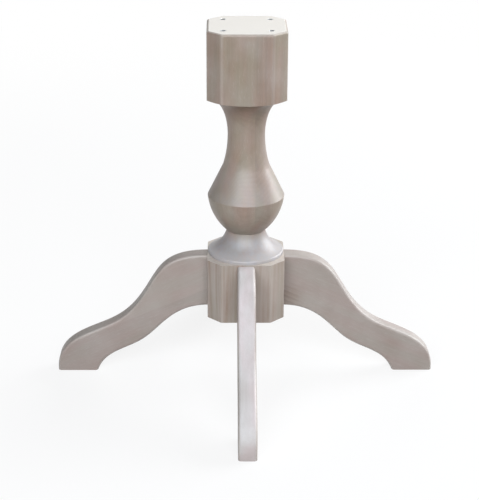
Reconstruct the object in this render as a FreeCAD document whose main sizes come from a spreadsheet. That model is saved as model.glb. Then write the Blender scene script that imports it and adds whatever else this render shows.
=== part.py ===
import FreeCAD, Part
import math
import os
from enum import IntEnum, auto
from types import SimpleNamespace

import Sketcher

# Pedestal table base: a turned octagonal column on four S-shaped legs.
# Frame: origin on the floor under the column's axis, +Z up, the front leg along -Y. Millimetres.

# Driving sizes
SIZES = {
    # Column blank
    "col_flats": 152.4,           # octagon across its flats
    "corner_cut": 27.4,           # cut along each side of the square that leaves the octagon's short facets
    "edge_round": 5.0,            # eased arrises of the octagon
    # Turned sections, stacked from the floor up
    "hub_foot": 134.7,            # floor to the hub's underside
    "hub_height": 123.4,          # octagonal hub
    "waist_rise": 49.2,           # hub's top to the waist under the bowl
    "bowl_height": 72.4,          # waist to the ridge
    "vase_height": 124.0,         # ridge to the neck
    "cove_height": 77.7,          # neck to the block's shoulder, where it meets the flats
    "block_height": 137.2,        # octagonal top block, above the shoulder
    # Turned shapes
    "rim_radius": 75.2,           # round rim on the hub
    "rim_height": 8.0,
    "rim_round": 4.0,
    "flare_radius": 56.0,         # hollow between the rim and the waist
    "waist_radius": 38.0,
    "bowl_radius": 110.8,         # swell between the waist and the ridge
    "ridge_radius": 75.5,
    "cone_height": 58.0,          # straight taper above the ridge
    "cone_top_radius": 47.4,
    "cone_lead": 10.0,            # how far the taper's line guides the curve above it
    "neck_radius": 36.3,
    "neck_below": 28.3,           # how far the neck stays straight below and above its slimmest point
    "neck_above": 12.8,
    "cove_lead": 2.2,             # how near the shoulder's line comes to the neck's before the cove turns
    "shoulder_slope": 0.25,       # rise of the shoulder for each unit of run, outwards
    # Socket under the hub
    "socket_width": 88.0,
    "socket_room": 4.7,           # socket's roof above the upper washers
    "socket_round": 12.0,
    # Legs
    "leg_thickness": 35.4,
    "leg_setdown": 2.1,           # hub's top edge to the leg's top
    "root_height": 110.4,         # leg at the hub
    "leg_reach": 383.2,           # axis to the toe
    "foot_length": 81.1,          # length on the floor
    "knee_run": 70.0,             # level lead of both edges, out of the hub
    "shin_run": 112.1,            # top edge's turn into the fall, out from the hub and down from the leg's top
    "shin_drop": 47.4,
    "ankle_run": 163.6,           # top edge's turn out of the fall, out from the hub and up from the floor
    "ankle_rise": 94.9,
    "toe_rise": 72.9,             # top edge's turn down to the toe
    "toe_flat": 6.9,              # upright part of the toe
    "arch_run": 119.9,            # underside's hollow, out from the hub and up from the floor
    "arch_rise": 47.8,
    "heel_back": 16.8,            # underside's turn down to the heel, in from the heel and up from the floor
    "heel_rise": 44.4,
    "leg_round": 6.0,             # eased long edges
    # Hardware that holds the legs
    "bolt_diameter": 8.0,
    "bolt_inset": 28.0,           # bolts in from the top and bottom of the leg's root
    "bolt_bite": 40.0,            # screwed into the leg
    "bolt_spare": 3.0,            # past the nut
    "pilot_spare": 2.0,           # hole in the leg past the bolt's end
    "pilot_clearance": 0.1,       # on the radius
    "hole_clearance": 0.5,        # on the radius, through the hub's wall
    "washer_diameter": 24.0,
    "washer_thickness": 2.0,
    "washer_clearance": 0.2,      # on the radius
    "nut_flats": 13.0,
    "nut_height": 6.5,
    "nut_clearance": 0.05,        # on the radius
    # Threaded inserts in the top
    "insert_pitch": 90.0,         # square that the four inserts stand on
    "insert_diameter": 12.0,
    "insert_core": 6.8,           # bore of the insert
    "insert_length": 20.0,
    "insert_clearance": 0.05,     # on the radius, and under the insert
}

LEG_TURNS = {"leg_right": 0, "leg_back": 90, "leg_left": 180, "leg_front": 270}
TOLERANCE = 1e-4


class Axis(IntEnum):
    """The number that a sketch gives to each of its own axes."""

    X = -1
    Y = -2


class Spot(IntEnum):
    """The point of a sketch's line, arc or circle that a constraint holds."""

    START = auto()
    END = auto()
    CENTRE = auto()


doc = FreeCAD.newDocument("pedestal_table_base")
sheet = doc.addObject("Spreadsheet::Sheet", "Sizes")
for row, (alias, number) in enumerate(SIZES.items(), 1):
    sheet.set(f"A{row}", alias)
    sheet.set(f"B{row}", str(number))
    sheet.setAlias(f"B{row}", alias)
doc.recompute()


class Dim:
    """A length as a number and as the sheet formula that drives it."""

    def __init__(self, value, formula):
        self.value = value
        self.formula = formula

    def join(self, sign, other, value):
        return Dim(value, f"({self.formula} {sign} {other.formula})")

    def __add__(self, other):
        return self.join("+", as_dim(other), self.value + as_dim(other).value)

    def __sub__(self, other):
        return self.join("-", as_dim(other), self.value - as_dim(other).value)

    def __mul__(self, other):
        return self.join("*", as_dim(other), self.value * as_dim(other).value)

    def __truediv__(self, other):
        return self.join("/", as_dim(other), self.value / as_dim(other).value)

    def __neg__(self):
        return self * -1


def as_dim(length):
    """A plain number as a length that nothing drives."""
    return length if isinstance(length, Dim) else Dim(length, f"({length!r})")


size = SimpleNamespace(**{alias: Dim(number, f"Sizes.{alias}") for alias, number in SIZES.items()})

# Sizes that follow from the driving ones
half = size.col_flats / 2
hub_top = size.hub_foot + size.hub_height
waist_z = hub_top + size.waist_rise
ridge_z = waist_z + size.bowl_height
neck_z = ridge_z + size.vase_height
shoulder_z = neck_z + size.cove_height
top_z = shoulder_z + size.block_height
leg_top = hub_top - size.leg_setdown
leg_under = leg_top - size.root_height
heel_x = size.leg_reach - size.foot_length
socket_half = size.socket_width / 2
lower_bolt_z = leg_under + size.bolt_inset
upper_bolt_z = leg_top - size.bolt_inset
bolt_levels = (lower_bolt_z, upper_bolt_z)
socket_roof = upper_bolt_z + size.washer_diameter / 2 + size.socket_room
washer_x = socket_half - size.washer_thickness
nut_x = washer_x - size.nut_height
bolt_start = nut_x - size.bolt_spare


def straight(drawing, start, end):
    """Join two corners by a line, and give its number and which of its ends come first and last."""
    line = drawing.add(Part.LineSegment(flat(start), flat(end)))
    return line, Spot.START, Spot.END


def arc(radius, side):
    """Path along the shorter arc of a radius, with its centre to the left (1) or right (-1) of the way."""

    def draw(drawing, start, end):
        first, last = flat(start), flat(end)
        chord = last - first
        across = FreeCAD.Vector(-chord.y, chord.x, 0).normalize()
        reach = math.sqrt(radius.value**2 - (chord.Length / 2) ** 2)
        centre = (first + last) / 2 + across * (reach * side)
        ends = [(first - centre), (last - centre)][::side]
        angles = [math.atan2(spoke.y, spoke.x) for spoke in ends]
        circle = Part.Circle(centre, FreeCAD.Vector(0, 0, 1), radius.value)
        bend = drawing.add(Part.ArcOfCircle(circle, *angles))
        drawing.measure("Radius", radius, bend)
        return (bend, Spot.START, Spot.END) if side > 0 else (bend, Spot.END, Spot.START)

    return draw


def spline(*inner_poles):
    """Path along a cubic spline with these poles between its corners."""

    def draw(drawing, start, end):
        curve = Part.BSplineCurve()
        poles = [flat(place) for place in (start, *inner_poles, end)]
        curve.buildFromPolesMultsKnots(poles, periodic=False, degree=3)
        number = drawing.add(curve)
        drawing.sketch.exposeInternalGeometry(number)
        first_inner = number + 2
        for pole, place in enumerate(inner_poles, first_inner):
            drawing.pin(pole, Spot.CENTRE, place)
        return number, Spot.START, Spot.END

    return draw


def flat(place):
    """A sketch point from two lengths."""
    return FreeCAD.Vector(as_dim(place[0]).value, as_dim(place[1]).value, 0)


class Drawing:
    """A sketch on one of its body's own planes, with every place and radius bound to the sheet."""

    def __init__(self, body, name, plane, offset=None):
        self.sketch = body.newObject("Sketcher::SketchObject", name)
        self.sketch.AttachmentSupport = [(origin_feature(body, plane), "")]
        self.sketch.MapMode = "FlatFace"
        if offset is not None:
            self.sketch.setExpression("AttachmentOffset.Base.z", offset.formula)

    def add(self, geometry):
        return self.sketch.addGeometry(geometry, False)

    def measure(self, kind, length, *where):
        """Add a dimension that the sheet drives."""
        number = self.sketch.addConstraint(Sketcher.Constraint(kind, *where, length.value))
        self.sketch.setExpression(f"Constraints[{number}]", length.formula)

    def pin(self, geometry, point, place):
        """Fix both coordinates of a point."""
        for kind, zero_line, length in (("DistanceX", Axis.Y, place[0]), ("DistanceY", Axis.X, place[1])):
            if isinstance(length, Dim):
                self.measure(kind, length, Axis.X, Spot.START, geometry, point)
            else:
                self.sketch.addConstraint(Sketcher.Constraint("PointOnObject", geometry, point, zero_line))

    def outline(self, corners):
        """Draw a closed outline from pairs of a corner and the path that leads on from it."""
        places = [place for place, _ in corners]
        sides = []
        for (place, path), following in zip(corners, places[1:] + places[:1]):
            sides.append(path(self, place, following))
        for (number, first, _), before, place in zip(sides, sides[-1:] + sides[:-1], places):
            self.sketch.addConstraint(Sketcher.Constraint("Coincident", before[0], before[2], number, first))
            self.pin(number, first, place)

    def circle(self, place, diameter):
        number = self.add(Part.Circle(flat(place), FreeCAD.Vector(0, 0, 1), diameter.value / 2))
        self.pin(number, Spot.CENTRE, place)
        self.measure("Diameter", diameter, number)


def origin_feature(body, role):
    """One of a body's own planes or axes."""
    return next(feature for feature in body.Origin.OriginFeatures if feature.Role == role)


def new_body(label):
    body = doc.addObject("PartDesign::Body", label)
    body.Label = label
    body.AllowCompound = True
    return body


def pad(body, drawing, name, length, midplane=False, reverse=False):
    feature = body.newObject("PartDesign::Pad", name)
    feature.Profile = drawing.sketch
    feature.setExpression("Length", length.formula)
    feature.Midplane = midplane
    feature.Reversed = reverse
    doc.recompute()
    return feature


def cut(body, drawing, name, kind="PartDesign::Pocket", depth=None, reverse=False):
    """Cut a sketch out of a body, to a depth or right through, and make sure that it removed material."""
    before = body.Shape.Volume
    feature = body.newObject(kind, name)
    feature.Profile = drawing.sketch
    if kind == "PartDesign::Groove":
        feature.ReferenceAxis = (origin_feature(body, "Z_Axis"), [""])
        feature.Angle = 360
    elif depth is None:
        feature.Type = "ThroughAll"
        feature.Midplane = True
    else:
        feature.setExpression("Length", depth.formula)
        feature.Reversed = reverse
    doc.recompute()
    if not feature.Shape.Volume < before - TOLERANCE:
        raise RuntimeError(f"{name} cuts nothing")
    return feature


def ease(body, name, base, chosen, radius):
    """Round the chosen edges of a feature."""
    edges = [f"Edge{number}" for number, edge in enumerate(base.Shape.Edges, 1) if chosen(edge)]
    feature = body.newObject("PartDesign::Fillet", name)
    feature.Base = (base, edges)
    feature.setExpression("Radius", radius.formula)
    doc.recompute()
    return feature


def repeat_round_column(body, feature):
    """Repeat a feature at each leg, around the column's axis."""
    pattern = body.newObject("PartDesign::PolarPattern", "at_each_leg")
    pattern.Originals = [feature]
    pattern.Axis = (origin_feature(body, "Z_Axis"), [""])
    pattern.Angle = 360
    pattern.Occurrences = len(LEG_TURNS)
    body.Tip = pattern
    doc.recompute()


def lies_at(edge, level, coordinate):
    """Whether both ends and the middle of an edge have the same x, y or z."""
    middle = edge.valueAt((edge.FirstParameter + edge.LastParameter) / 2)
    points = [vertex.Point for vertex in edge.Vertexes] + [middle]
    return all(abs(getattr(point, coordinate) - level) < TOLERANCE for point in points)


def turned_profile():
    """Corners of what the lathe removes between the hub and the block, as radius and height."""
    clear_of_corners = size.col_flats * math.sqrt(0.5)
    shoulder_rise = (clear_of_corners - half) * size.shoulder_slope
    cove_turn = size.neck_radius + size.cove_lead
    cove_turn_z = shoulder_z - (half - cove_turn) * size.shoulder_slope
    cone_top_z = ridge_z + size.cone_height
    taper = (size.ridge_radius - size.cone_top_radius) / size.cone_height
    cone_lead = (size.cone_top_radius - taper * size.cone_lead, cone_top_z + size.cone_lead)
    neck_above = (size.neck_radius, neck_z + size.neck_above)
    neck_below = (size.neck_radius, neck_z - size.neck_below)
    rim_top = hub_top + size.rim_height
    return [
        ((clear_of_corners, hub_top), straight),
        ((clear_of_corners, shoulder_z + shoulder_rise), straight),
        ((half, shoulder_z), spline((cove_turn, cove_turn_z), neck_above)),
        ((size.neck_radius, neck_z), spline(neck_below, cone_lead)),
        ((size.cone_top_radius, cone_top_z), straight),
        ((size.ridge_radius, ridge_z), arc(size.bowl_radius, -1)),
        ((size.waist_radius, waist_z), arc(size.flare_radius, 1)),
        ((size.rim_radius - size.rim_round, rim_top), arc(size.rim_round, -1)),
        ((size.rim_radius, rim_top - size.rim_round), straight),
        ((size.rim_radius, hub_top), straight),
    ]


def octagon():
    near = half - size.corner_cut
    corners = [(half, -near), (half, near), (near, half), (-near, half)]
    corners += [(-half, near), (-half, -near), (-near, -half), (near, -half)]
    return [(corner, straight) for corner in corners]


def rounded_square(half_width, radius):
    inner = half_width - radius
    corner = arc(radius, 1)
    return [
        ((half_width, -inner), straight), ((half_width, inner), corner),
        ((inner, half_width), straight), ((-inner, half_width), corner),
        ((-half_width, inner), straight), ((-half_width, -inner), corner),
        ((-inner, -half_width), straight), ((inner, -half_width), corner),
    ]


def hexagon(flats, level):
    """A nut's outline in the plane across its bolt, with two flats upright."""
    side = flats / 2
    corner = flats / math.sqrt(3)
    corners = [(side, level - corner / 2), (side, level + corner / 2), (0, level + corner)]
    corners += [(-side, level + corner / 2), (-side, level - corner / 2), (0, level - corner)]
    return [(place, straight) for place in corners]


def insert_places():
    offset = size.insert_pitch / 2
    return [(offset, offset), (-offset, offset), (-offset, -offset), (offset, -offset)]


def make_column():
    """One turned piece: octagonal blank, lathe cut, socket, bolt holes and insert holes."""
    body = new_body("column")
    plan = Drawing(body, "plan", "XY_Plane", size.hub_foot)
    plan.outline(octagon())
    blank = pad(body, plan, "blank", top_z - size.hub_foot)
    foot = size.hub_foot.value
    ease(body, "eased_arrises", blank, lambda edge: not lies_at(edge, foot, "z"), size.edge_round)

    turning = Drawing(body, "turning", "XZ_Plane")
    turning.outline(turned_profile())
    cut(body, turning, "lathe_cut", "PartDesign::Groove")

    mouth = Drawing(body, "socket_mouth", "XY_Plane", size.hub_foot)
    mouth.outline(rounded_square(socket_half, size.socket_round))
    cut(body, mouth, "socket", depth=socket_roof - size.hub_foot, reverse=True)

    for plane in ("XZ_Plane", "YZ_Plane"):
        holes = Drawing(body, f"bolt_holes_{plane[:2].lower()}", plane)
        for level in bolt_levels:
            holes.circle((0, level), size.bolt_diameter + size.hole_clearance * 2)
        cut(body, holes, f"drilled_{plane[:2].lower()}")

    seats = Drawing(body, "insert_holes", "XY_Plane", top_z)
    for place in insert_places():
        seats.circle(place, size.insert_diameter + size.insert_clearance * 2)
    cut(body, seats, "insert_seats", depth=size.insert_length + size.insert_clearance)
    return body


def make_leg(label, turn):
    """One saw-cut leg along +X with eased edges and two pilot holes, turned to its side of the hub."""
    body = new_body(label)
    side_view = Drawing(body, "side_view", "XZ_Plane")
    top_poles = [
        (half + size.knee_run, leg_top),
        (half + size.shin_run, leg_top - size.shin_drop),
        (half + size.ankle_run, size.ankle_rise),
        (size.leg_reach, size.toe_rise),
    ]
    under_poles = [
        (heel_x - size.heel_back, size.heel_rise),
        (half + size.arch_run, size.arch_rise),
        (half + size.knee_run, leg_under),
    ]
    side_view.outline([
        ((half, leg_top), spline(*top_poles)),
        ((size.leg_reach, size.toe_flat), straight),
        ((size.leg_reach, 0), straight),
        ((heel_x, 0), spline(*under_poles)),
        ((half, leg_under), straight),
    ])
    plank = pad(body, side_view, "plank", size.leg_thickness, midplane=True)
    cheek = size.leg_thickness.value / 2

    def is_long_edge(edge):
        on_cheek = lies_at(edge, cheek, "y") or lies_at(edge, -cheek, "y")
        return on_cheek and not lies_at(edge, half.value, "x") and not lies_at(edge, 0, "z")

    ease(body, "eased_edges", plank, is_long_edge, size.leg_round)
    pilots = Drawing(body, "pilot_holes", "YZ_Plane", half)
    for level in bolt_levels:
        pilots.circle((0, level), size.bolt_diameter + size.pilot_clearance * 2)
    cut(body, pilots, "pilots", depth=size.bolt_bite + size.pilot_spare, reverse=True)
    body.Placement = FreeCAD.Placement(FreeCAD.Vector(), FreeCAD.Rotation(FreeCAD.Vector(0, 0, 1), turn))
    return body


def make_hardware(label, start, length, shape_at):
    """Two like pieces across the bolts of one leg, repeated at each leg."""
    body = new_body(label)
    face = Drawing(body, "face", "YZ_Plane", start)
    for level in bolt_levels:
        shape_at(face, level)
    repeat_round_column(body, pad(body, face, "pair", length))
    return body


def bolt_at(face, level):
    face.circle((0, level), size.bolt_diameter)


def washer_at(face, level):
    face.circle((0, level), size.washer_diameter)
    face.circle((0, level), size.bolt_diameter + size.washer_clearance * 2)


def nut_at(face, level):
    face.outline(hexagon(size.nut_flats, level))
    face.circle((0, level), size.bolt_diameter + size.nut_clearance * 2)


def make_inserts():
    """Four threaded inserts, flush with the block's top."""
    body = new_body("top_inserts")
    ends = Drawing(body, "insert_ends", "XY_Plane", top_z)
    for place in insert_places():
        ends.circle(place, size.insert_diameter)
        ends.circle(place, size.insert_core)
    pad(body, ends, "sleeves", size.insert_length, reverse=True)
    return body


def check(bodies):
    """Stop unless every object recomputed and every piece is a sound solid."""
    failed = [thing.Name for thing in doc.Objects if {"Invalid", "Error"} & set(thing.State)]
    if failed:
        raise RuntimeError(f"failed objects: {failed}")
    for body in bodies:
        if body.Shape.isNull() or not body.Shape.isValid() or not body.Shape.Solids:
            raise RuntimeError(f"{body.Label} has no sound shape")


pieces = [make_column()]
pieces += [make_leg(label, turn) for label, turn in LEG_TURNS.items()]
pieces.append(make_hardware("hanger_bolts", bolt_start, half + size.bolt_bite - bolt_start, bolt_at))
pieces.append(make_hardware("flat_washers", washer_x, size.washer_thickness, washer_at))
pieces.append(make_hardware("hex_nuts", nut_x, size.nut_height, nut_at))
pieces.append(make_inserts())
doc.recompute()
check(pieces)

os.makedirs("parts", exist_ok=True)
for piece in pieces:
    piece.Shape.exportStep(f"parts/{piece.Label}.step")
    print(piece.Label, len(piece.Shape.Solids), "solids", round(piece.Shape.Volume), "mm3")
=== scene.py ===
"""Looks of a pedestal table base: washed wood, zinc plated fixings, a plain studio and the camera."""

import logging
import math
from dataclasses import dataclass
from enum import Enum
from typing import Any, Callable, Union

import bmesh
import bpy
from mathutils import Matrix, Vector


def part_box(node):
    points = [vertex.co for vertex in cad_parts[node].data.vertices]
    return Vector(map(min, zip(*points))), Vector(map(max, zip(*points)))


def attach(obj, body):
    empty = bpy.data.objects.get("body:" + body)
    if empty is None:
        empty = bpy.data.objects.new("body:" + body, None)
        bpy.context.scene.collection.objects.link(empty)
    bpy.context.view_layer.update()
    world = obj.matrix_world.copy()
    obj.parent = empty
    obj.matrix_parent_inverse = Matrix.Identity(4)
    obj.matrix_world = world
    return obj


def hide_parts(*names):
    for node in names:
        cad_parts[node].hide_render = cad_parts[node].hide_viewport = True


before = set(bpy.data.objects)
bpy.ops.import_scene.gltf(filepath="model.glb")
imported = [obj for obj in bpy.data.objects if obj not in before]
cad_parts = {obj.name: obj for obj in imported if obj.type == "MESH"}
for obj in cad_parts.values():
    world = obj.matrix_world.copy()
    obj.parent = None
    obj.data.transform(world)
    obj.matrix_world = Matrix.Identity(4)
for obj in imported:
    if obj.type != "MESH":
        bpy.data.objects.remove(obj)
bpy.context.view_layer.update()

log = logging.getLogger("pedestal_table_base")

MM = 0.001
BODY = "root"
SHARP = math.radians(32)
VECTOR_SOCKETS = {"VECTOR", "RGBA"}
WHITE = (1.0, 1.0, 1.0, 1.0)
UPWARD = Vector((0, 0, 1))
NOISE_MEAN = 0.5
QUARTER_TURN = 90

# The display's curve from its levels to linear light
DISPLAY_TOP = 255
DISPLAY_KNEE = 0.04045
DISPLAY_SLOPE = 12.92
DISPLAY_OFFSET = 0.055
DISPLAY_POWER = 2.4

Colour = tuple[float, float, float, float]
Size = tuple[float, float, float]
Span = tuple[float, float]
Term = Union["Signal", float, tuple]
RadiusRule = Callable[[float, float], float]
Ring = tuple[float, RadiusRule]


def paint(red: int, green: int, blue: int) -> Colour:
    """Turn a display colour into the linear numbers that shaders take.

    Args:
        red: Red, from 0 to 255.
        green: Green, from 0 to 255.
        blue: Blue, from 0 to 255.

    Returns:
        The colour as linear red, green, blue and alpha.
    """
    linear = []
    for level in (red, green, blue):
        share = level / DISPLAY_TOP
        curved = ((share + DISPLAY_OFFSET) / (1 + DISPLAY_OFFSET)) ** DISPLAY_POWER
        linear.append(share / DISPLAY_SLOPE if share <= DISPLAY_KNEE else curved)
    return (linear[0], linear[1], linear[2], 1.0)


# Shader graphs


class Signal:
    """An output of a shader node, on which Python's operators add maths nodes."""

    def __init__(self, graph: "Graph", socket: bpy.types.NodeSocket) -> None:
        """Wrap a socket of a graph."""
        self.graph = graph
        self.socket = socket

    def maths(self, operation: str, *terms: Term, output: int = 0) -> "Signal":
        """Add a Math node, or a Vector Math node where a term is a vector.

        Args:
            operation: The node's operation.
            terms: The node's inputs, in order.
            output: The number of the node's output.

        Returns:
            The node's result.
        """
        signals = [term for term in terms if isinstance(term, Signal)]
        is_vector = any(signal.socket.type in VECTOR_SOCKETS for signal in signals)
        kind = "ShaderNodeVectorMath" if is_vector else "ShaderNodeMath"
        return self.graph.node(kind, {"operation": operation}, dict(enumerate(terms)), output)

    def __add__(self, other: Term) -> "Signal":
        """Sum."""
        return self.maths("ADD", self, other)

    def __radd__(self, other: Term) -> "Signal":
        """Sum, with the plain number first."""
        return self.maths("ADD", other, self)

    def __sub__(self, other: Term) -> "Signal":
        """Difference."""
        return self.maths("SUBTRACT", self, other)

    def __rsub__(self, other: Term) -> "Signal":
        """Difference, with the plain number first."""
        return self.maths("SUBTRACT", other, self)

    def __mul__(self, other: Term) -> "Signal":
        """Product."""
        return self.maths("MULTIPLY", self, other)

    def __rmul__(self, other: Term) -> "Signal":
        """Product, with the plain number first."""
        return self.maths("MULTIPLY", other, self)

    def __truediv__(self, other: Term) -> "Signal":
        """Quotient."""
        return self.maths("DIVIDE", self, other)

    def __rtruediv__(self, other: Term) -> "Signal":
        """Quotient, with the plain number first."""
        return self.maths("DIVIDE", other, self)

    def __abs__(self) -> "Signal":
        """Size without its sign."""
        return self.maths("ABSOLUTE", self)

    def floor(self) -> "Signal":
        """Whole part."""
        return self.maths("FLOOR", self)

    def fraction(self) -> "Signal":
        """Part after the point."""
        return self.maths("FRACT", self)

    def root(self) -> "Signal":
        """Square root."""
        return self.maths("SQRT", self)

    def most(self, other: Term) -> "Signal":
        """The larger of two values."""
        return self.maths("MAXIMUM", self, other)

    def least(self, other: Term) -> "Signal":
        """The smaller of two values."""
        return self.maths("MINIMUM", self, other)

    def within(self, size: Size) -> "Signal":
        """A place, counted in features of a size along each axis."""
        return self * tuple(1 / length for length in size)

    def along(self, direction: Vector) -> "Signal":
        """How far a vector reaches in a direction."""
        return self.maths("DOT_PRODUCT", self, tuple(direction), output=1)

    def axis(self, name: str) -> "Signal":
        """One coordinate of a vector."""
        return self.graph.node("ShaderNodeSeparateXYZ", {}, {0: self}, name)

    def smooth(self, low: float, high: float) -> "Signal":
        """Rise softly from 0 at low to 1 at high, or fall if low is the larger.

        Args:
            low: Where the result is 0.
            high: Where the result is 1.

        Returns:
            The soft step.
        """
        settings = {"interpolation_type": "SMOOTHSTEP"}
        rising = low < high
        inputs = {0: self, 1: min(low, high), 2: max(low, high), 3: float(not rising), 4: float(rising)}
        return self.graph.node("ShaderNodeMapRange", settings, inputs)


class Graph:
    """The shader nodes of a material or of the world."""

    def __init__(self, owner: bpy.types.Material | bpy.types.World) -> None:
        """Start with no nodes but the output.

        Args:
            owner: The material or the world.
        """
        owner.use_nodes = True
        self.tree = owner.node_tree
        self.tree.nodes.clear()
        is_world = isinstance(owner, bpy.types.World)
        self.end = self.tree.nodes.new("ShaderNodeOutputWorld" if is_world else "ShaderNodeOutputMaterial")

    def node(
        self,
        kind: str,
        settings: dict[str, Any] | None = None,
        inputs: dict[str | int, Term] | None = None,
        output: str | int = 0,
    ) -> Signal:
        """Add a node.

        Args:
            kind: The node's type.
            settings: Its own settings, which are set first.
            inputs: Values or links for its sockets, by name or number.
            output: The output that is wanted, by name or number.

        Returns:
            That output.
        """
        made = self.tree.nodes.new(kind)
        for name, setting in (settings or {}).items():
            setattr(made, name, setting)
        for name, value in (inputs or {}).items():
            socket = made.inputs[name]
            if isinstance(value, Signal):
                self.tree.links.new(value.socket, socket)
            elif socket.type == "VECTOR" and isinstance(value, (int, float)):
                socket.default_value = (value, value, value)
            else:
                socket.default_value = value
        return Signal(self, made.outputs[output])

    def finish(self, shader: Signal) -> None:
        """Link a shader to the output."""
        self.tree.links.new(shader.socket, self.end.inputs["Surface"])

    def place(self) -> Signal:
        """Place on the object at rest, in millimetres."""
        return self.node("ShaderNodeTexCoord", {}, {}, "Object") * (1 / MM)

    def normal(self) -> Signal:
        """The surface's own direction."""
        return self.node("ShaderNodeNewGeometry", {}, {}, "Normal")

    def noise(self, place: Signal, detail: float = 2.0, roughness: float = 0.5, output: int = 0) -> Signal:
        """Cloudy noise from 0 to 1, with features about one unit across.

        Args:
            place: Where to read it.
            detail: How many finer layers it has.
            roughness: How strong those layers are.
            output: 0 for one value, or 1 for three.

        Returns:
            The noise.
        """
        inputs = {"Vector": place, "Scale": 1.0, "Detail": detail, "Roughness": roughness}
        return self.node("ShaderNodeTexNoise", {"noise_dimensions": "3D"}, inputs, output)

    def dice(self, number: Signal) -> Signal:
        """Three random values from 0 to 1 that belong to a whole number."""
        return self.node("ShaderNodeTexWhiteNoise", {"noise_dimensions": "1D"}, {"W": number}, "Color")

    def mix(self, share: Term, first: Term, second: Term, blend: str = "MIX") -> Signal:
        """Mix two colours.

        Args:
            share: How much of the second, from 0 to 1.
            first: The first colour.
            second: The second colour.
            blend: How they combine.

        Returns:
            The mixed colour.
        """
        settings = {"data_type": "RGBA", "blend_type": blend, "clamp_factor": True}
        return self.node("ShaderNodeMix", settings, {0: share, 6: first, 7: second}, 2)

    def relief(self, height: Signal, strength: float, depth: float) -> Signal:
        """Raise and sink the surface in its shading.

        Args:
            height: Where it is high, and where low.
            strength: How strong the relief is.
            depth: How deep it is, in millimetres.

        Returns:
            The surface's new direction.
        """
        inputs = {"Strength": strength, "Distance": depth * MM, "Height": height}
        return self.node("ShaderNodeBump", {}, inputs)

    def seen_directly(self) -> Signal:
        """Tell what the camera sees, also in a reflection or through glass, from what only gives light.

        Returns:
            1 for rays from the camera, and 0 for light.
        """
        kinds = ("Is Camera Ray", "Is Glossy Ray", "Is Transmission Ray")
        camera, glossy, through = (self.node("ShaderNodeLightPath", {}, {}, kind) for kind in kinds)
        return camera.most(glossy).most(through)


# Finishes


@dataclass(frozen=True)
class Board:
    """How the timber of a piece lies: its grain, its glued boards and the tree's centre. Millimetres."""

    grain: Vector
    across: Vector
    seed: float
    stave: float = 400.0
    pith_spread: float = 110.0

    @property
    def through(self) -> Vector:
        """Direction through the board's thickness."""
        return self.grain.cross(self.across)


@dataclass(frozen=True)
class Grain:
    """Sizes of the timber's figure, across, through and along the grain. Millimetres."""

    bend: Size = (95.0, 95.0, 430.0)
    bend_reach: Size = (22.0, 22.0, 0.0)
    ring_bend: float = 1.5
    late_rise: Span = (0.25, 0.9)
    late_fall: Span = (1.0, 0.9)
    streak: Size = (8.0, 8.0, 260.0)
    fibre: Size = (1.3, 1.3, 70.0)
    pore: Size = (0.6, 0.6, 10.0)
    pore_span: Span = (0.58, 0.72)
    late_closed: float = 0.7
    cast: Size = (30.0, 30.0, 120.0)
    cast_span: Span = (0.3, 0.7)
    mottle: Size = (55.0, 55.0, 55.0)


@dataclass(frozen=True)
class Timber:
    """Signals of the bare timber that a finish works on. Streak, fibre and mottle swing about zero."""

    late: Signal
    streak: Signal
    fibre: Signal
    pores: Signal
    cast: Signal
    tone: Signal
    mottle: Signal


@dataclass(frozen=True)
class Varying:
    """A value that varies over the timber: where it starts, and how far each signal moves it."""

    base: float = 0.0
    late: float = 0.0
    pores: float = 0.0
    streak: float = 0.0
    fibre: float = 0.0
    mottle: float = 0.0

    def of(self, wood: Timber) -> Signal:
        """Work out the value on a piece of timber.

        Args:
            wood: The timber's signals.

        Returns:
            The value, from place to place.
        """
        total: Term = self.base
        for name in ("late", "pores", "streak", "fibre", "mottle"):
            weight = getattr(self, name)
            if weight:
                total = total + weight * getattr(wood, name)
        return total


@dataclass(frozen=True)
class Masks:
    """Where a piece is worn, with a painted highlight along its rounded edges; figured; sawn, with painted
    light on the front leg and painted shadow on the left leg; carries a painted reflection; is lighter;
    carries painted shade; is bare, with painted glare on the top and painted light on the hub's ledge; or
    is turned.

    Each is 0 where it isn't and 1 where it is.
    """

    worn: Term = 0.0
    figured: Term = 0.0
    sawn: Term = 0.0
    milky: Term = 0.0
    pale: Term = 0.0
    deep: Term = 0.0
    bare: Term = 0.0
    turned: Term = 0.0


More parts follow.
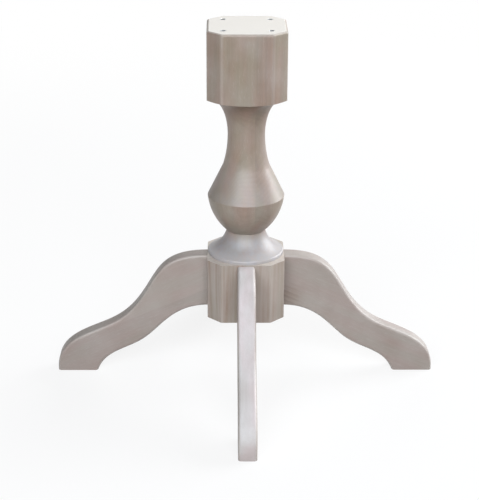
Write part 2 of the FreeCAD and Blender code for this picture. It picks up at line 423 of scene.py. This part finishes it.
@dataclass(frozen=True)
class WashedWood:
    """Grey taupe stain under a thin white wash, satin, paler on sawn faces and worn edges; its colour also
    carries painted reflection, painted shade, painted highlights and painted glare.
    """

    stain_light: Colour = paint(142, 123, 108)
    stain_dark: Colour = paint(102, 84, 71)
    rosy: Colour = paint(255, 239, 231)
    mossy: Colour = paint(243, 251, 238)
    heart: Colour = paint(240, 220, 204)
    wash: Colour = paint(184, 179, 175)
    brushed: Colour = paint(189, 180, 172)
    # painted shade: a warmer, darker colour multiplied in where a piece is shaded
    sawn: Colour = paint(204, 201, 203)
    # painted reflection: a pale bluish tone for the windows' reflection on the flare and the cone, mixed
    # with some paler wash
    milky: Colour = paint(163, 167, 176)
    deep: Colour = paint(226, 210, 200)
    # worn edge colour; along the rounded edges it also serves as a painted highlight
    worn: Colour = paint(202, 197, 190)
    # bare end grain painted near white: partly the raw wood, partly painted glare of the light on the top
    bare: Colour = paint(236, 232, 225)
    bare_ring: Colour = paint(224, 217, 207)
    grain: Grain = Grain()
    ring_width: float = 3.6
    strength: float = 0.01
    stave_strength: float = 0.35
    figure_strength: float = 0.8
    cover: float = 0.2
    streaks: float = 0.65
    stroke: float = 0.33
    stroke_streak: float = 1.4
    sawn_cast: float = 0.6
    # strength of the worn edges and their painted highlight
    wear: float = 0.17
    wear_span: Span = (-0.3, 0.1)
    bare_rough: float = 0.25
    sawn_rough: float = 0.2
    lathe_lines: Size = (0.0, 0.0, 1.2)
    lathe_relief: float = 0.25
    relief_strength: float = 0.35
    relief_depth: float = 0.25
    refraction: float = 1.55
    lines: Varying = Varying(late=0.14, streak=1.3, fibre=0.25)
    lodged: Varying = Varying(pores=0.2, fibre=0.15, mottle=0.45)
    milk: Varying = Varying(base=0.5, streak=0.8)
    patches: Varying = Varying(base=1.0, streak=0.5, fibre=0.4, mottle=0.9)
    end_rings: Varying = Varying(late=0.8, fibre=0.4)
    satin: Varying = Varying(base=0.4, pores=0.12, mottle=0.1)
    relief: Varying = Varying(late=-0.3, pores=-0.6, fibre=0.25)

    def timber(self, graph: Graph, board: Board) -> Timber:
        """Work out rings, streaks, fibres and pores of a board.

        Args:
            graph: The material's nodes.
            board: How the timber lies.

        Returns:
            The timber's signals.
        """
        grain = self.grain
        place = graph.place()
        through = place.along(board.through) + board.seed
        parts = {"X": place.along(board.across), "Y": through, "Z": place.along(board.grain) + board.seed}
        lie = graph.node("ShaderNodeCombineXYZ", {}, parts)
        bend = graph.noise(lie.within(grain.bend), detail=1.5, output=1)
        bent = lie + (bend - NOISE_MEAN) * grain.bend_reach
        across = bent.axis("X")
        stave = (across / board.stave + 0.5).floor()
        chance = graph.dice(stave + board.seed)
        pith = (chance.axis("X") - NOISE_MEAN) * board.pith_spread + stave * board.stave
        depth = (chance.axis("Y") - NOISE_MEAN) * (2 * board.pith_spread) + board.seed
        out = across - pith
        down = bent.axis("Y") - depth
        radius = (out * out + down * down).root()
        ring = (radius / self.ring_width + grain.ring_bend * bend.axis("Z")).fraction()
        late = ring.smooth(*grain.late_rise) * ring.smooth(*grain.late_fall)
        dotted = graph.noise(bent.within(grain.pore), detail=1.0).smooth(*grain.pore_span)
        return Timber(
            late=late,
            streak=graph.noise(bent.within(grain.streak), detail=3.0, roughness=0.6) - NOISE_MEAN,
            fibre=graph.noise(bent.within(grain.fibre), detail=2.0, roughness=0.6) - NOISE_MEAN,
            pores=dotted * (1 - grain.late_closed * late),
            cast=graph.noise(bent.within(grain.cast), detail=1.0).smooth(*grain.cast_span),
            tone=chance.axis("Z"),
            mottle=graph.noise(place.within(grain.mottle)) - NOISE_MEAN,
        )

    def material(self, name: str, board: Board, masks: Callable[[Graph], Masks]) -> bpy.types.Material:
        """Make the finish for one piece.

        Args:
            name: The material's name.
            board: How the piece's timber lies.
            masks: Gives where the piece is worn, bare or turned.

        Returns:
            The material.
        """
        made = bpy.data.materials.new(name)
        graph = Graph(made)
        wood = self.timber(graph, board)
        mask = masks(graph)
        tone = self.stave_strength * wood.tone + self.figure_strength * mask.figured * wood.late
        strength = self.strength + tone + self.streaks * self.lines.of(wood)
        stain = graph.mix(strength, self.stain_light, self.stain_dark)
        cast = graph.mix(wood.cast, self.rosy, self.mossy)
        tinted = graph.mix(1.0, stain, cast, "MULTIPLY")
        hearted = graph.mix(mask.figured, tinted, self.heart, "MULTIPLY")
        washed = graph.mix(self.cover + self.lodged.of(wood), hearted, self.wash)
        strokes = (self.stroke + self.stroke_streak * wood.streak * (1 - mask.turned)) * mask.pale
        brushed = graph.mix(strokes, washed, self.brushed)
        # painted reflection mixed into the colour
        milked = graph.mix(self.milk.of(wood) * mask.milky, brushed, self.milky)
        # painted shade multiplied into the colour
        covered = graph.mix(mask.deep, milked, self.deep, "MULTIPLY")
        faced = graph.mix(self.sawn_cast, self.sawn, cast, "MULTIPLY")
        cut = graph.mix(self.patches.of(wood) * mask.sawn, covered, faced)
        # wear and painted highlight along the edges
        patchy = mask.worn * wood.streak.smooth(*self.wear_span)
        edged = graph.mix(self.wear * patchy, cut, self.worn)
        clean = graph.mix(self.end_rings.of(wood), self.bare, self.bare_ring)
        colour = graph.mix(mask.bare, edged, clean)
        rough = self.satin.of(wood) + self.bare_rough * mask.bare + self.sawn_rough * mask.sawn
        lathe = graph.noise(graph.place() * self.lathe_lines) * mask.turned
        height = self.relief.of(wood) + self.lathe_relief * lathe
        bump = graph.relief(height, self.relief_strength, self.relief_depth)
        inputs = {"Base Color": colour, "Roughness": rough, "Normal": bump, "IOR": self.refraction}
        graph.finish(graph.node("ShaderNodeBsdfPrincipled", {}, inputs))
        return made


@dataclass(frozen=True)
class ZincPlate:
    """Zinc plated steel: dull bright, with a cloudy bloom and fine drawing lines."""

    bright: Colour = paint(206, 208, 210)
    bloom: Colour = paint(176, 178, 178)
    straw: Colour = paint(206, 200, 178)
    cloud_size: Size = (3.5, 3.5, 3.5)
    cloud_span: Span = (0.35, 0.7)
    line_size: Size = (0.5, 0.5, 0.25)
    straw_size: Size = (9.0, 9.0, 9.0)
    straw_span: Span = (0.5, 0.75)
    straw_share: float = 0.35
    polish: float = 0.3
    cloud_rough: float = 0.22
    line_rough: float = 0.12
    relief_strength: float = 0.15
    relief_depth: float = 0.05

    def material(self, name: str) -> bpy.types.Material:
        """Make the finish.

        Args:
            name: The material's name.

        Returns:
            The material.
        """
        made = bpy.data.materials.new(name)
        graph = Graph(made)
        place = graph.place()
        cloud = graph.noise(place.within(self.cloud_size), detail=3.0)
        lines = graph.noise(place.within(self.line_size), detail=1.0)
        straw = graph.noise(place.within(self.straw_size), detail=1.0).smooth(*self.straw_span)
        plate = graph.mix(cloud.smooth(*self.cloud_span), self.bright, self.bloom)
        colour = graph.mix(self.straw_share * straw, plate, self.straw)
        dull = self.cloud_rough * (cloud - NOISE_MEAN) + self.line_rough * (lines - NOISE_MEAN)
        bump = graph.relief(lines, self.relief_strength, self.relief_depth)
        inputs = {"Base Color": colour, "Metallic": 1.0, "Roughness": self.polish + dull, "Normal": bump}
        graph.finish(graph.node("ShaderNodeBsdfPrincipled", {}, inputs))
        return made


# Wooden pieces


class Side(Enum):
    """The side of the column that a leg stands on, with its turn from +X in degrees."""

    RIGHT = 0
    BACK = 90
    LEFT = 180
    FRONT = 270

    @property
    def node(self) -> str:
        """Name of the leg's node."""
        return f"leg_{self.name.lower()}"

    @property
    def outward(self) -> Vector:
        """Direction from the column's axis along the leg."""
        turn = math.radians(self.value)
        return Vector((round(math.cos(turn)), round(math.sin(turn)), 0))


def cover(node: str, material: bpy.types.Material) -> None:
    """Put one material on a piece.

    Args:
        node: The piece's name.
        material: Its material.
    """
    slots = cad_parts[node].material_slots
    for slot in slots:
        slot.material = material
    log.info("%s: %s", node, material.name)


@dataclass(frozen=True)
class Column:
    """The turned column, glued up from upright staves. Millimetres.

    The spans say where a mask is 0 and where it is 1: rim, flare and ledge above the hub's top, cone above
    the ridge, cove above the block's shoulder, end above its top, roof and mouth above the hub's underside.
    """

    facet_cut: float = 27.4
    hub_height: float = 123.4
    block_height: float = 137.2
    ridge: float = 379.7
    stave: float = 33.0
    seed: float = 176.0
    soft: float = 0.5
    arris_span: Span = (6.5, 0.6)
    edge_span: Span = (1.6, 0.3)
    rim_span: Span = (20.0, 6.0)
    flare_span: Span = (58.0, 29.0)
    ledge_span: Span = (-6.0, -2.0)
    ledge_slope: Span = (0.5, 0.9)
    cone_start: Span = (0.0, 1.0)
    cone_span: Span = (110.0, 0.0)
    cove_span: Span = (-70.0, 0.0)
    end_span: Span = (-0.4, -0.1)
    wall_span: Span = (44.5, 44.2)
    roof_span: Span = (111.0, 110.5)
    mouth_span: Span = (0.1, 0.6)
    rim_wash: float = 2.2
    ledge_wash: float = 0.38
    # how strongly the painted reflection lies on the flare and on the cone
    flare_milk: float = 0.9
    cone_milk: float = 0.28
    node: str = "column"

    @property
    def half(self) -> float:
        """Half of the octagon's width across its flats."""
        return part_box(self.node)[1].x / MM

    @property
    def foot(self) -> float:
        """Level of the hub's underside."""
        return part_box(self.node)[0].z / MM

    @property
    def top(self) -> float:
        """Level of the block's top."""
        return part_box(self.node)[1].z / MM

    def masks(self, graph: Graph) -> Masks:
        """Find the worn arrises with their painted highlight, the lighter hub and rim, the painted
        reflection on the flare and cone, the painted shade in the cove, the bare top and socket with
        painted glare, the ledge's painted light, and the turned part.

        Args:
            graph: The material's nodes.

        Returns:
            The masks.
        """
        place = graph.place()
        level = place.axis("Z")
        beside = abs(place.axis("X"))
        ahead = abs(place.axis("Y"))
        far = beside.most(ahead) - self.half
        near = beside.least(ahead) - (self.half - self.facet_cut)
        over_hub = level - (self.foot + self.hub_height)
        over_shoulder = level - (self.top - self.block_height)
        over_ridge = level - self.ridge
        over_foot = level - self.foot
        turned = over_hub.smooth(0.0, self.soft) * over_shoulder.smooth(0.0, -self.soft)
        # worn paler along the arrises, partly a painted highlight on their roundings
        arris = (far * far + near * near).root().smooth(*self.arris_span)
        worn = arris.most(abs(over_hub).smooth(*self.edge_span) * (1 - turned))
        cone = over_ridge.smooth(*self.cone_start) * over_ridge.smooth(*self.cone_span)
        # painted reflection: the flare and the cone painted paler and bluer where the windows reflect in
        # them
        milky = (self.flare_milk * over_hub.smooth(*self.flare_span) + self.cone_milk * cone) * turned
        # lighter over the hub and over the flare's rim just above it
        hub = over_hub.smooth(self.soft, -self.soft)
        pale = hub.most(self.rim_wash * over_hub.smooth(*self.rim_span) * turned)
        # painted shade: the cove under the block painted darker and warmer where the block shades it
        cove = turned * over_shoulder.smooth(*self.cove_span)
        # painted glare: the bare top painted near white
        end = (level - self.top).smooth(*self.end_span)
        inside = beside.most(ahead).smooth(*self.wall_span)
        hollow = inside * over_foot.smooth(*self.roof_span) * over_foot.smooth(*self.mouth_span)
        # painted light: the up-facing ledge on top of the hub painted paler where light from above falls,
        # partly bare end grain
        flat = graph.normal().axis("Z").smooth(*self.ledge_slope)
        ledge = flat * over_hub.smooth(*self.ledge_span) * (1 - turned) * (1 - end)
        bare = end.most(hollow).most(self.ledge_wash * ledge)
        return Masks(worn=worn, milky=milky, pale=pale, deep=cove, bare=bare, turned=turned)

    def dress(self, finish: WashedWood) -> None:
        """Give the column its finish.

        Args:
            finish: The wood's finish.
        """
        board = Board(grain=UPWARD, across=Vector((1, 0, 0)), seed=self.seed, stave=self.stave)
        cover(self.node, finish.material("washed_wood_column", board, self.masks))


@dataclass(frozen=True)
class Leg:
    """One saw-cut leg. Its grain runs from the hub down to the toe. Millimetres."""

    side: Side
    # how much paler the sawn faces are; on the front leg most of it is painted light, as if lit from the
    # front
    paleness: float = 0.15
    # painted shade on the sawn faces, for the column's shadow over them
    depth: float = 0.0
    figure: float = 0.0
    root_reach: Span = (125.0, 80.0)
    root_level: Span = (205.0, 165.0)
    edge_rise: Span = (0.12, 0.45)
    edge_fall: Span = (0.99, 0.8)
    sawn_span: Span = (0.9, 0.4)
    toe_span: Span = (0.0, 70.0)
    toe_paleness: float = 0.5
    fall: float = math.radians(24)
    pith_spread: float = 150.0
    seed_step: float = 37.0

    def masks(self, graph: Graph) -> Masks:
        """Find the worn long edges with their painted highlight, the sawn top and underside with their
        painted light and painted shade, and the figured root.

        Args:
            graph: The material's nodes.

        Returns:
            The masks.
        """
        outward = self.side.outward
        cheek = abs(graph.normal().along(Vector((-outward.y, outward.x, 0))))
        # worn paler along the long rounded edges, partly a painted highlight where the roundings catch the
        # light
        edge = cheek.smooth(*self.edge_rise) * cheek.smooth(*self.edge_fall)
        sawn = cheek.smooth(*self.sawn_span)
        place = graph.place()
        level = place.axis("Z")
        fade = self.toe_paleness + (1 - self.toe_paleness) * level.smooth(*self.toe_span)
        root = place.along(outward).smooth(*self.root_reach) * level.smooth(*self.root_level)
        figured = self.figure * root
        # painted light and painted shade on the sawn faces
        return Masks(worn=edge, figured=figured, sawn=self.paleness * fade * sawn, deep=self.depth * sawn)

    def dress(self, finish: WashedWood) -> None:
        """Give the leg its finish.

        Args:
            finish: The wood's finish.
        """
        outward = self.side.outward
        grain = outward * math.cos(self.fall) - UPWARD * math.sin(self.fall)
        across = outward * math.sin(self.fall) + UPWARD * math.cos(self.fall)
        seed = self.seed_step * (1 + self.side.value / QUARTER_TURN)
        board = Board(grain=grain, across=across, seed=seed, pith_spread=self.pith_spread)
        cover(self.side.node, finish.material(f"washed_wood_{self.side.node}", board, self.masks))


# Fixings


@dataclass(frozen=True)
class Thread:
    """A right-handed screw thread. Millimetres, and its flats as a share of half a pitch."""

    crest: float
    root: float
    pitch: float
    steps: int = 6
    flat: float = 0.1

    def radius(self, angle: float, distance: float) -> float:
        """Give the thread's radius at one place.

        Args:
            angle: Angle round the axis.
            distance: Distance along the axis.

        Returns:
            The radius there.
        """
        turn = (distance / self.pitch - angle / math.tau) % 1
        flank = abs(2 * turn - 1)
        rise = min(max((flank - self.flat) / (1 - 2 * self.flat), 0.0), 1.0)
        return self.root + (self.crest - self.root) * rise

    def cuts(self, start: float, end: float) -> list[float]:
        """Give the distances along the axis at which rings show the thread's flanks.

        Args:
            start: Where the thread starts.
            end: Where it ends.

        Returns:
            The distances, in order.
        """
        count = math.ceil(abs(end - start) / self.pitch * self.steps)
        return [start + (end - start) * number / count for number in range(count + 1)]


def plain(radius: float) -> RadiusRule:
    """A round ring of one radius."""
    return lambda angle, distance: radius


def hexagon(flats: float) -> RadiusRule:
    """A six-sided ring with a corner at angle zero."""
    return lambda angle, distance: flats / 2 / math.cos(angle % (math.pi / 3) - math.pi / 6)


@dataclass(frozen=True)
class Spindle:
    """The axis that a fixing is shaped round, with the direction of angle zero. Millimetres."""

    start: Vector
    along: Vector
    zero: Vector
    sides: int = 48

    def point(self, angle: float, distance: float, radius: float) -> Vector:
        """Find a point round the axis.

        Args:
            angle: Angle round the axis.
            distance: Distance along the axis.
            radius: Distance from the axis.

        Returns:
            The point, in metres.
        """
        spoke = self.zero * math.cos(angle) + self.along.cross(self.zero) * math.sin(angle)
        return (self.start + self.along * distance + spoke * radius) * MM

    def loft(self, drawn: bmesh.types.BMesh, rings: list[Ring], hollow: bool) -> None:
        """Skin a row of rings, closed on itself where the piece is hollow and capped where it isn't.

        Args:
            drawn: The mesh that takes the skin.
            rings: The rings, each a distance and a rule for its radius.
            hollow: Whether the rings come back along a bore.
        """
        angles = [math.tau * side / self.sides for side in range(self.sides)]
        rows = []
        for distance, radius in rings:
            rows.append([drawn.verts.new(self.point(a, distance, radius(a, distance))) for a in angles])
        following = rows[1:] + rows[:1] if hollow else rows[1:]
        for first, second in zip(rows, following):
            for side in range(self.sides):
                drawn.faces.new((first[side - 1], first[side], second[side], second[side - 1]))
        if not hollow:
            drawn.faces.new(rows[0])
            drawn.faces.new(rows[-1])


def stand_for(node: str, name: str, drawn: bmesh.types.BMesh, material: bpy.types.Material) -> None:
    """Turn a drawn mesh into a steel piece that stands for a node.

    Args:
        node: The node that it replaces.
        name: The piece's name.
        drawn: Its mesh.
        material: Its material.
    """
    bmesh.ops.recalc_face_normals(drawn, faces=drawn.faces)
    mesh = bpy.data.meshes.new(name)
    drawn.to_mesh(mesh)
    drawn.free()
    mesh.shade_smooth()
    mesh.set_sharp_from_angle(angle=SHARP)
    mesh.materials.append(material)
    piece = bpy.data.objects.new(name, mesh)
    bpy.context.scene.collection.objects.link(piece)
    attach(piece, BODY)
    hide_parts(node)
    log.info("%s: %d faces", name, len(mesh.polygons))


@dataclass(frozen=True)
class LegFixings:
    """Hanger bolts, washers and nuts that hold the legs to the hub. Millimetres."""

    machine: Thread = Thread(crest=4.0, root=3.3, pitch=1.25)
    coarse: Thread = Thread(crest=4.0, root=2.8, pitch=3.6, steps=10)
    bolt_sides: int = 24
    bolt_spare: float = 3.0
    bolt_end: float = 3.1
    shank_radius: float = 3.6
    shank_length: float = 6.0
    coarse_length: float = 36.0
    point_length: float = 9.0
    point_radius: float = 0.6
    washer_thickness: float = 2.0
    washer_bore: float = 4.2
    washer_rolled: float = 0.45
    washer_cut: float = 0.135
    washer_burr: float = 0.15
    nut_flats: float = 13.0
    nut_height: float = 6.5
    nut_face: float = 6.2
    nut_slope: float = math.tan(math.radians(60))
    nut_clearance: float = 0.05
    nut_mouth: float = 4.4
    corner_steps: tuple[float, ...] = (0.0, 0.12, 0.26, 0.42, 0.6, 0.78)

    @staticmethod
    def reach(node: str) -> float:
        """How far a node reaches from the column's axis."""
        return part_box(node)[1].x / MM

    @property
    def nut_start(self) -> float:
        """Distance from the column's axis to the nuts' inner faces."""
        return self.reach("hex_nuts") - self.nut_height

    @property
    def levels(self) -> tuple[float, float]:
        """Levels of the lower and upper bolts."""
        low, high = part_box("hanger_bolts")
        return low.z / MM + self.machine.crest, high.z / MM - self.machine.crest

    def spindles(self, sides: int) -> list[Spindle]:
        """Find the bolts' axes.

        Args:
            sides: How many sides their rings have.

        Returns:
            One axis for each bolt, from the column's axis outwards.
        """
        places = [(side.outward, UPWARD * level) for side in Side for level in self.levels]
        return [Spindle(start, outward, UPWARD, sides) for outward, start in places]

    def bolt_rings(self) -> list[Ring]:
        """Draw a hanger bolt: machine thread, plain shank and wood thread with its point.

        Returns:
            The rings, from the end in the socket to the point.
        """
        start = self.nut_start - self.bolt_spare
        end = self.reach("hanger_bolts")
        joint = end - self.coarse_length - self.shank_length
        taper = (self.coarse.crest - self.point_radius) / self.point_length

        def machined(angle: float, distance: float) -> float:
            """Machine thread with a chamfered end."""
            return min(self.machine.radius(angle, distance), self.bolt_end + distance - start)

        def screwed(angle: float, distance: float) -> float:
            """Wood thread that narrows to the point."""
            return min(self.coarse.radius(angle, distance), self.point_radius + taper * (end - distance))

        rings = [(distance, machined) for distance in self.machine.cuts(start, joint)]
        rings += [(joint, plain(self.shank_radius)), (joint + self.shank_length, plain(self.shank_radius))]
        rings += [(distance, screwed) for distance in self.coarse.cuts(joint + self.shank_length, end)]
        return rings

    def washer_rings(self) -> list[Ring]:
        """Draw a pressed washer: rolled on one face, with a slight burr on the other.

        Returns:
            The rings, from the inner face out over the rim and back along the bore.
        """
        outer = self.reach("flat_washers")
        inner = outer - self.washer_thickness
        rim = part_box("flat_washers")[1].z / MM - self.levels[1]
        rolled = self.washer_rolled
        profile = [
            (inner, self.washer_bore + self.washer_burr),
            (inner, rim - rolled),
            (inner + self.washer_cut, rim - self.washer_cut),
            (inner + rolled, rim),
            (outer - self.washer_burr, rim),
            (outer, rim - self.washer_burr),
            (outer, self.washer_bore + self.washer_burr),
            (outer - self.washer_burr, self.washer_bore),
            (inner + self.washer_burr, self.washer_bore),
        ]
        return [(distance, plain(radius)) for distance, radius in profile]

    def nut_rings(self) -> list[Ring]:
        """Draw a hexagon nut: corners cut back at both faces, and a threaded bore.

        Returns:
            The rings, from the inner face over the flats and back along the bore.
        """
        start = self.nut_start
        end = start + self.nut_height
        flats = hexagon(self.nut_flats)

        def outside(angle: float, distance: float) -> float:
            """Flats, with the corners cut back towards the faces."""
            depth = min(distance - start, end - distance)
            return min(flats(angle, distance), self.nut_face + self.nut_slope * depth)

        def bore(angle: float, distance: float) -> float:
            """Thread, countersunk at both faces."""
            depth = min(distance - start, end - distance)
            return max(self.machine.radius(angle, distance) + self.nut_clearance, self.nut_mouth - depth)

        rings = [(start + step, outside) for step in self.corner_steps]
        rings += [(end - step, outside) for step in reversed(self.corner_steps)]
        rings += [(distance, bore) for distance in self.machine.cuts(end, start)]
        return rings

    def build(self, material: bpy.types.Material) -> None:
        """Make the bolts, washers and nuts.

        Args:
            material: The plated steel.
        """
        kinds = (
            ("hanger_bolts", "threaded_hanger_bolts", self.bolt_rings(), self.bolt_sides, False),
            ("flat_washers", "pressed_flat_washers", self.washer_rings(), Spindle.sides, True),
            ("hex_nuts", "chamfered_hex_nuts", self.nut_rings(), Spindle.sides, True),
        )
        for node, name, rings, sides, hollow in kinds:
            drawn = bmesh.new()
            for spindle in self.spindles(sides):
                spindle.loft(drawn, rings, hollow)
            stand_for(node, name, drawn, material)


@dataclass(frozen=True)
class TopInserts:
    """Threaded inserts in the block's top, for the table top's bolts. Millimetres."""

    outer: Thread = Thread(crest=6.0, root=5.2, pitch=2.8, steps=10)
    inner: Thread = Thread(crest=4.0, root=3.4, pitch=1.25)
    sides: int = 36
    rim_height: float = 1.4
    rim_radius: float = 5.9
    rim_bevel: float = 0.3
    lead_length: float = 4.0
    lead_radius: float = 4.7
    drive_flats: float = 8.0
    drive_depth: float = 4.5
    node: str = "top_inserts"

    def rings(self, length: float) -> list[Ring]:
        """Draw an insert: rim, outer thread with a tapered lead, inner thread and hexagon drive.

        Args:
            length: The insert's length.

        Returns:
            The rings, from the rim down the outside and back up the bore.
        """
        taper = (self.outer.crest - self.lead_radius) / self.lead_length
        drive = hexagon(self.drive_flats)

        def outside(angle: float, distance: float) -> float:
            """Outer thread that narrows at its lower end."""
            return min(self.outer.radius(angle, distance), self.lead_radius + taper * (length - distance))

        def opened(angle: float, distance: float) -> float:
            """Mouth of the drive, a little wider than its flats."""
            return drive(angle, distance) + self.rim_bevel

        face = plain(self.rim_radius - self.rim_bevel)
        rim = plain(self.rim_radius)
        rings = [(0.0, face), (self.rim_bevel, rim), (self.rim_height, rim)]
        rings += [(distance, outside) for distance in self.outer.cuts(self.rim_height, length)]
        rings += [(distance, self.inner.radius) for distance in self.inner.cuts(length, self.drive_depth)]
        rings += [(self.drive_depth, drive), (self.rim_bevel, drive), (0.0, opened)]
        return rings

    def build(self, material: bpy.types.Material) -> None:
        """Make the inserts.

        Args:
            material: The plated steel.
        """
        low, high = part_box(self.node)
        offset = high.x / MM - self.outer.crest
        rings = self.rings((high.z - low.z) / MM)
        drawn = bmesh.new()
        for across in (-offset, offset):
            for along in (-offset, offset):
                start = Vector((across, along, high.z / MM))
                Spindle(start, -UPWARD, Vector((1, 0, 0)), self.sides).loft(drawn, rings, hollow=True)
        stand_for(self.node, "threaded_top_inserts", drawn, material)


# Studio


@dataclass(frozen=True)
class Lamp:
    """A soft lamp that faces the object. Degrees, with azimuth 0 in front and 90 on the right, and metres.

    Level is what the lamp adds to a white surface that faces it.
    """

    name: str
    azimuth: float
    elevation: float
    level: float
    width: float
    height: float
    colour: tuple[float, float, float] = (1.0, 1.0, 1.0)
    mirrored: bool = True
    distance: float = 6.0
    target: Vector = Vector((0, 0, 0.36))

    @property
    def towards(self) -> Vector:
        """Find the direction from the object to the lamp.

        Returns:
            The direction.
        """
        turn = math.radians(self.azimuth)
        rise = math.radians(self.elevation)
        return Vector((math.sin(turn) * math.cos(rise), -math.cos(turn) * math.cos(rise), math.sin(rise)))

    def build(self) -> None:
        """Hang the lamp."""
        data = bpy.data.lights.new(self.name, "AREA")
        data.energy = self.level * math.pi**2 * self.distance**2
        data.shape = "RECTANGLE"
        data.size = self.width
        data.size_y = self.height
        data.color = self.colour
        lamp = bpy.data.objects.new(self.name, data)
        lamp.location = self.target + self.towards * self.distance
        lamp.rotation_euler = (-self.towards).to_track_quat("-Z", "Y").to_euler()
        lamp.visible_camera = False
        lamp.visible_glossy = self.mirrored
        bpy.context.scene.collection.objects.link(lamp)
        log.info("%s: lamp", self.name)


@dataclass(frozen=True)
class Studio:
    """A plain white floor that keeps the object's shadow, an even white surround and soft lamps. Metres."""

    floor_radius: float = 7.0
    floor_sides: int = 96
    floor_tone: Colour = paint(232, 232, 232)
    bounce_tone: Colour = paint(178, 177, 175)
    paper: float = 0.82
    fade_mm: Span = (1200.0, 3000.0)
    ambient: float = 0.08
    dim_side: float = 0.1
    dim_span: Span = (-0.9, 0.1)
    lamps: tuple[Lamp, ...] = (
        Lamp("front_window", -7, 35, 1.31, 6.8, 3.4, (0.915, 0.95, 1.0)),
        Lamp("right_window", 118, 23, 1.27, 4.2, 3.8, (0.96, 0.98, 1.0)),
        Lamp("back_fill", 175, 8, 0.55, 3.2, 2.0, mirrored=False),
    )

    def floor_material(self) -> bpy.types.Material:
        """Make white paper: it shows white with a soft shadow, and lights the object as a pale floor does.

        Returns:
            The material.
        """
        made = bpy.data.materials.new("studio_paper")
        graph = Graph(made)
        place = graph.place()
        distance = (place.axis("X") * place.axis("X") + place.axis("Y") * place.axis("Y")).root()
        share = self.paper + (1 - self.paper) * distance.smooth(*self.fade_mm)
        seen = graph.seen_directly()
        tone = graph.mix(seen, self.bounce_tone, self.floor_tone)
        matte = graph.node("ShaderNodeBsdfDiffuse", {}, {"Color": tone})
        white = graph.node("ShaderNodeEmission", {}, {"Color": WHITE, "Strength": 1.0})
        above = graph.node("ShaderNodeMixShader", {}, {0: share * seen, 1: matte, 2: white})
        clear = graph.node("ShaderNodeBsdfTransparent")
        behind = graph.node("ShaderNodeNewGeometry", {}, {}, "Backfacing")
        graph.finish(graph.node("ShaderNodeMixShader", {}, {0: behind, 1: above, 2: clear}))
        return made

    def build_floor(self) -> None:
        """Lay the floor."""
        mesh = bpy.data.meshes.new("floor")
        drawn = bmesh.new()
        bmesh.ops.create_circle(drawn, cap_ends=True, radius=self.floor_radius, segments=self.floor_sides)
        drawn.to_mesh(mesh)
        drawn.free()
        mesh.materials.append(self.floor_material())
        floor = bpy.data.objects.new("floor", mesh)
        bpy.context.scene.collection.objects.link(floor)

    def build_surround(self) -> None:
        """Make the world white to look at, with a soft light that is dimmer on the left."""
        world = bpy.data.worlds.new("surround")
        bpy.context.scene.world = world
        graph = Graph(world)
        side = graph.node("ShaderNodeTexCoord", {}, {}, "Generated").axis("X")
        room = self.dim_side + (1 - self.dim_side) * side.smooth(*self.dim_span)
        camera = graph.node("ShaderNodeLightPath", {}, {}, "Is Camera Ray")
        lit = (self.ambient + (1 - self.ambient) * graph.seen_directly()) * room
        inputs = {"Color": WHITE, "Strength": lit.most(camera)}
        graph.finish(graph.node("ShaderNodeBackground", {}, inputs))

    def build(self) -> None:
        """Set up floor, surround and lamps."""
        self.build_floor()
        self.build_surround()
        for lamp in self.lamps:
            lamp.build()
        bpy.context.scene.view_settings.view_transform = "Standard"


@dataclass(frozen=True)
class PhotoCamera:
    """The photograph's camera: where it stands round the column, and its aim. Metres and radians."""

    distance: float = 2.6995
    height: float = 1.3768
    azimuth: float = -0.0165
    tilt: float = 0.39233
    pan: float = -0.00457
    roll: float = 0.0044
    focal_px: float = 1458.63
    frame_px: tuple[int, int] = (479, 500)
    sensor_mm: float = 36.0

    def build(self) -> None:
        """Set up the scene's camera."""
        data = bpy.data.cameras.new("photo_camera")
        data.sensor_width = self.sensor_mm
        data.lens = self.focal_px / max(self.frame_px) * self.sensor_mm
        yaw = self.pan - self.azimuth
        level = Vector((math.sin(yaw), math.cos(yaw), 0))
        forward = level * math.cos(self.tilt) - UPWARD * math.sin(self.tilt)
        right = Vector((math.cos(yaw), -math.sin(yaw), 0))
        up = right.cross(forward)
        turned_right = right * math.cos(self.roll) + up * math.sin(self.roll)
        turned_up = up * math.cos(self.roll) - right * math.sin(self.roll)
        aim = Matrix((turned_right, turned_up, -forward)).transposed().to_4x4()
        stand = Vector((math.sin(self.azimuth), -math.cos(self.azimuth), 0)) * self.distance
        stand.z = self.height
        camera = bpy.data.objects.new("photo_camera", data)
        camera.matrix_world = Matrix.Translation(stand) @ aim
        bpy.context.scene.collection.objects.link(camera)
        bpy.context.scene.camera = camera


def main() -> None:
    """Dress the pieces in order, and set up the studio and the camera."""
    logging.basicConfig(level=logging.INFO, format="%(message)s")
    column_wood = WashedWood()
    leg_wood = WashedWood(
        stain_light=paint(156, 143, 135),
        stain_dark=paint(120, 106, 98),
        rosy=paint(255, 243, 240),
        mossy=paint(249, 250, 244),
        # painted shade colour for the left leg's sawn faces, in the column's shadow
        deep=paint(236, 238, 239),
        ring_width=8.0,
        strength=0.15,
        cover=0.3,
        streaks=0.22,
        wear=0.24,
    )
    Column().dress(column_wood)
    legs = (
        # painted light: the front leg's sawn faces painted much paler, as if lit by the front window
        Leg(Side.FRONT, paleness=0.8),
        Leg(Side.RIGHT, figure=1.0),
        Leg(Side.BACK, figure=0.6),
        # painted shadow: the left leg's sawn faces kept from the paleness and darkened where the column's
        # shadow falls
        Leg(Side.LEFT, paleness=0.0, depth=1.0),
    )
    for leg in legs:
        leg.dress(leg_wood)
    plated = ZincPlate().material("zinc_plate")
    LegFixings().build(plated)
    TopInserts().build(plated)
    Studio().build()
    PhotoCamera().build()


if __name__ == "__main__":
    main()
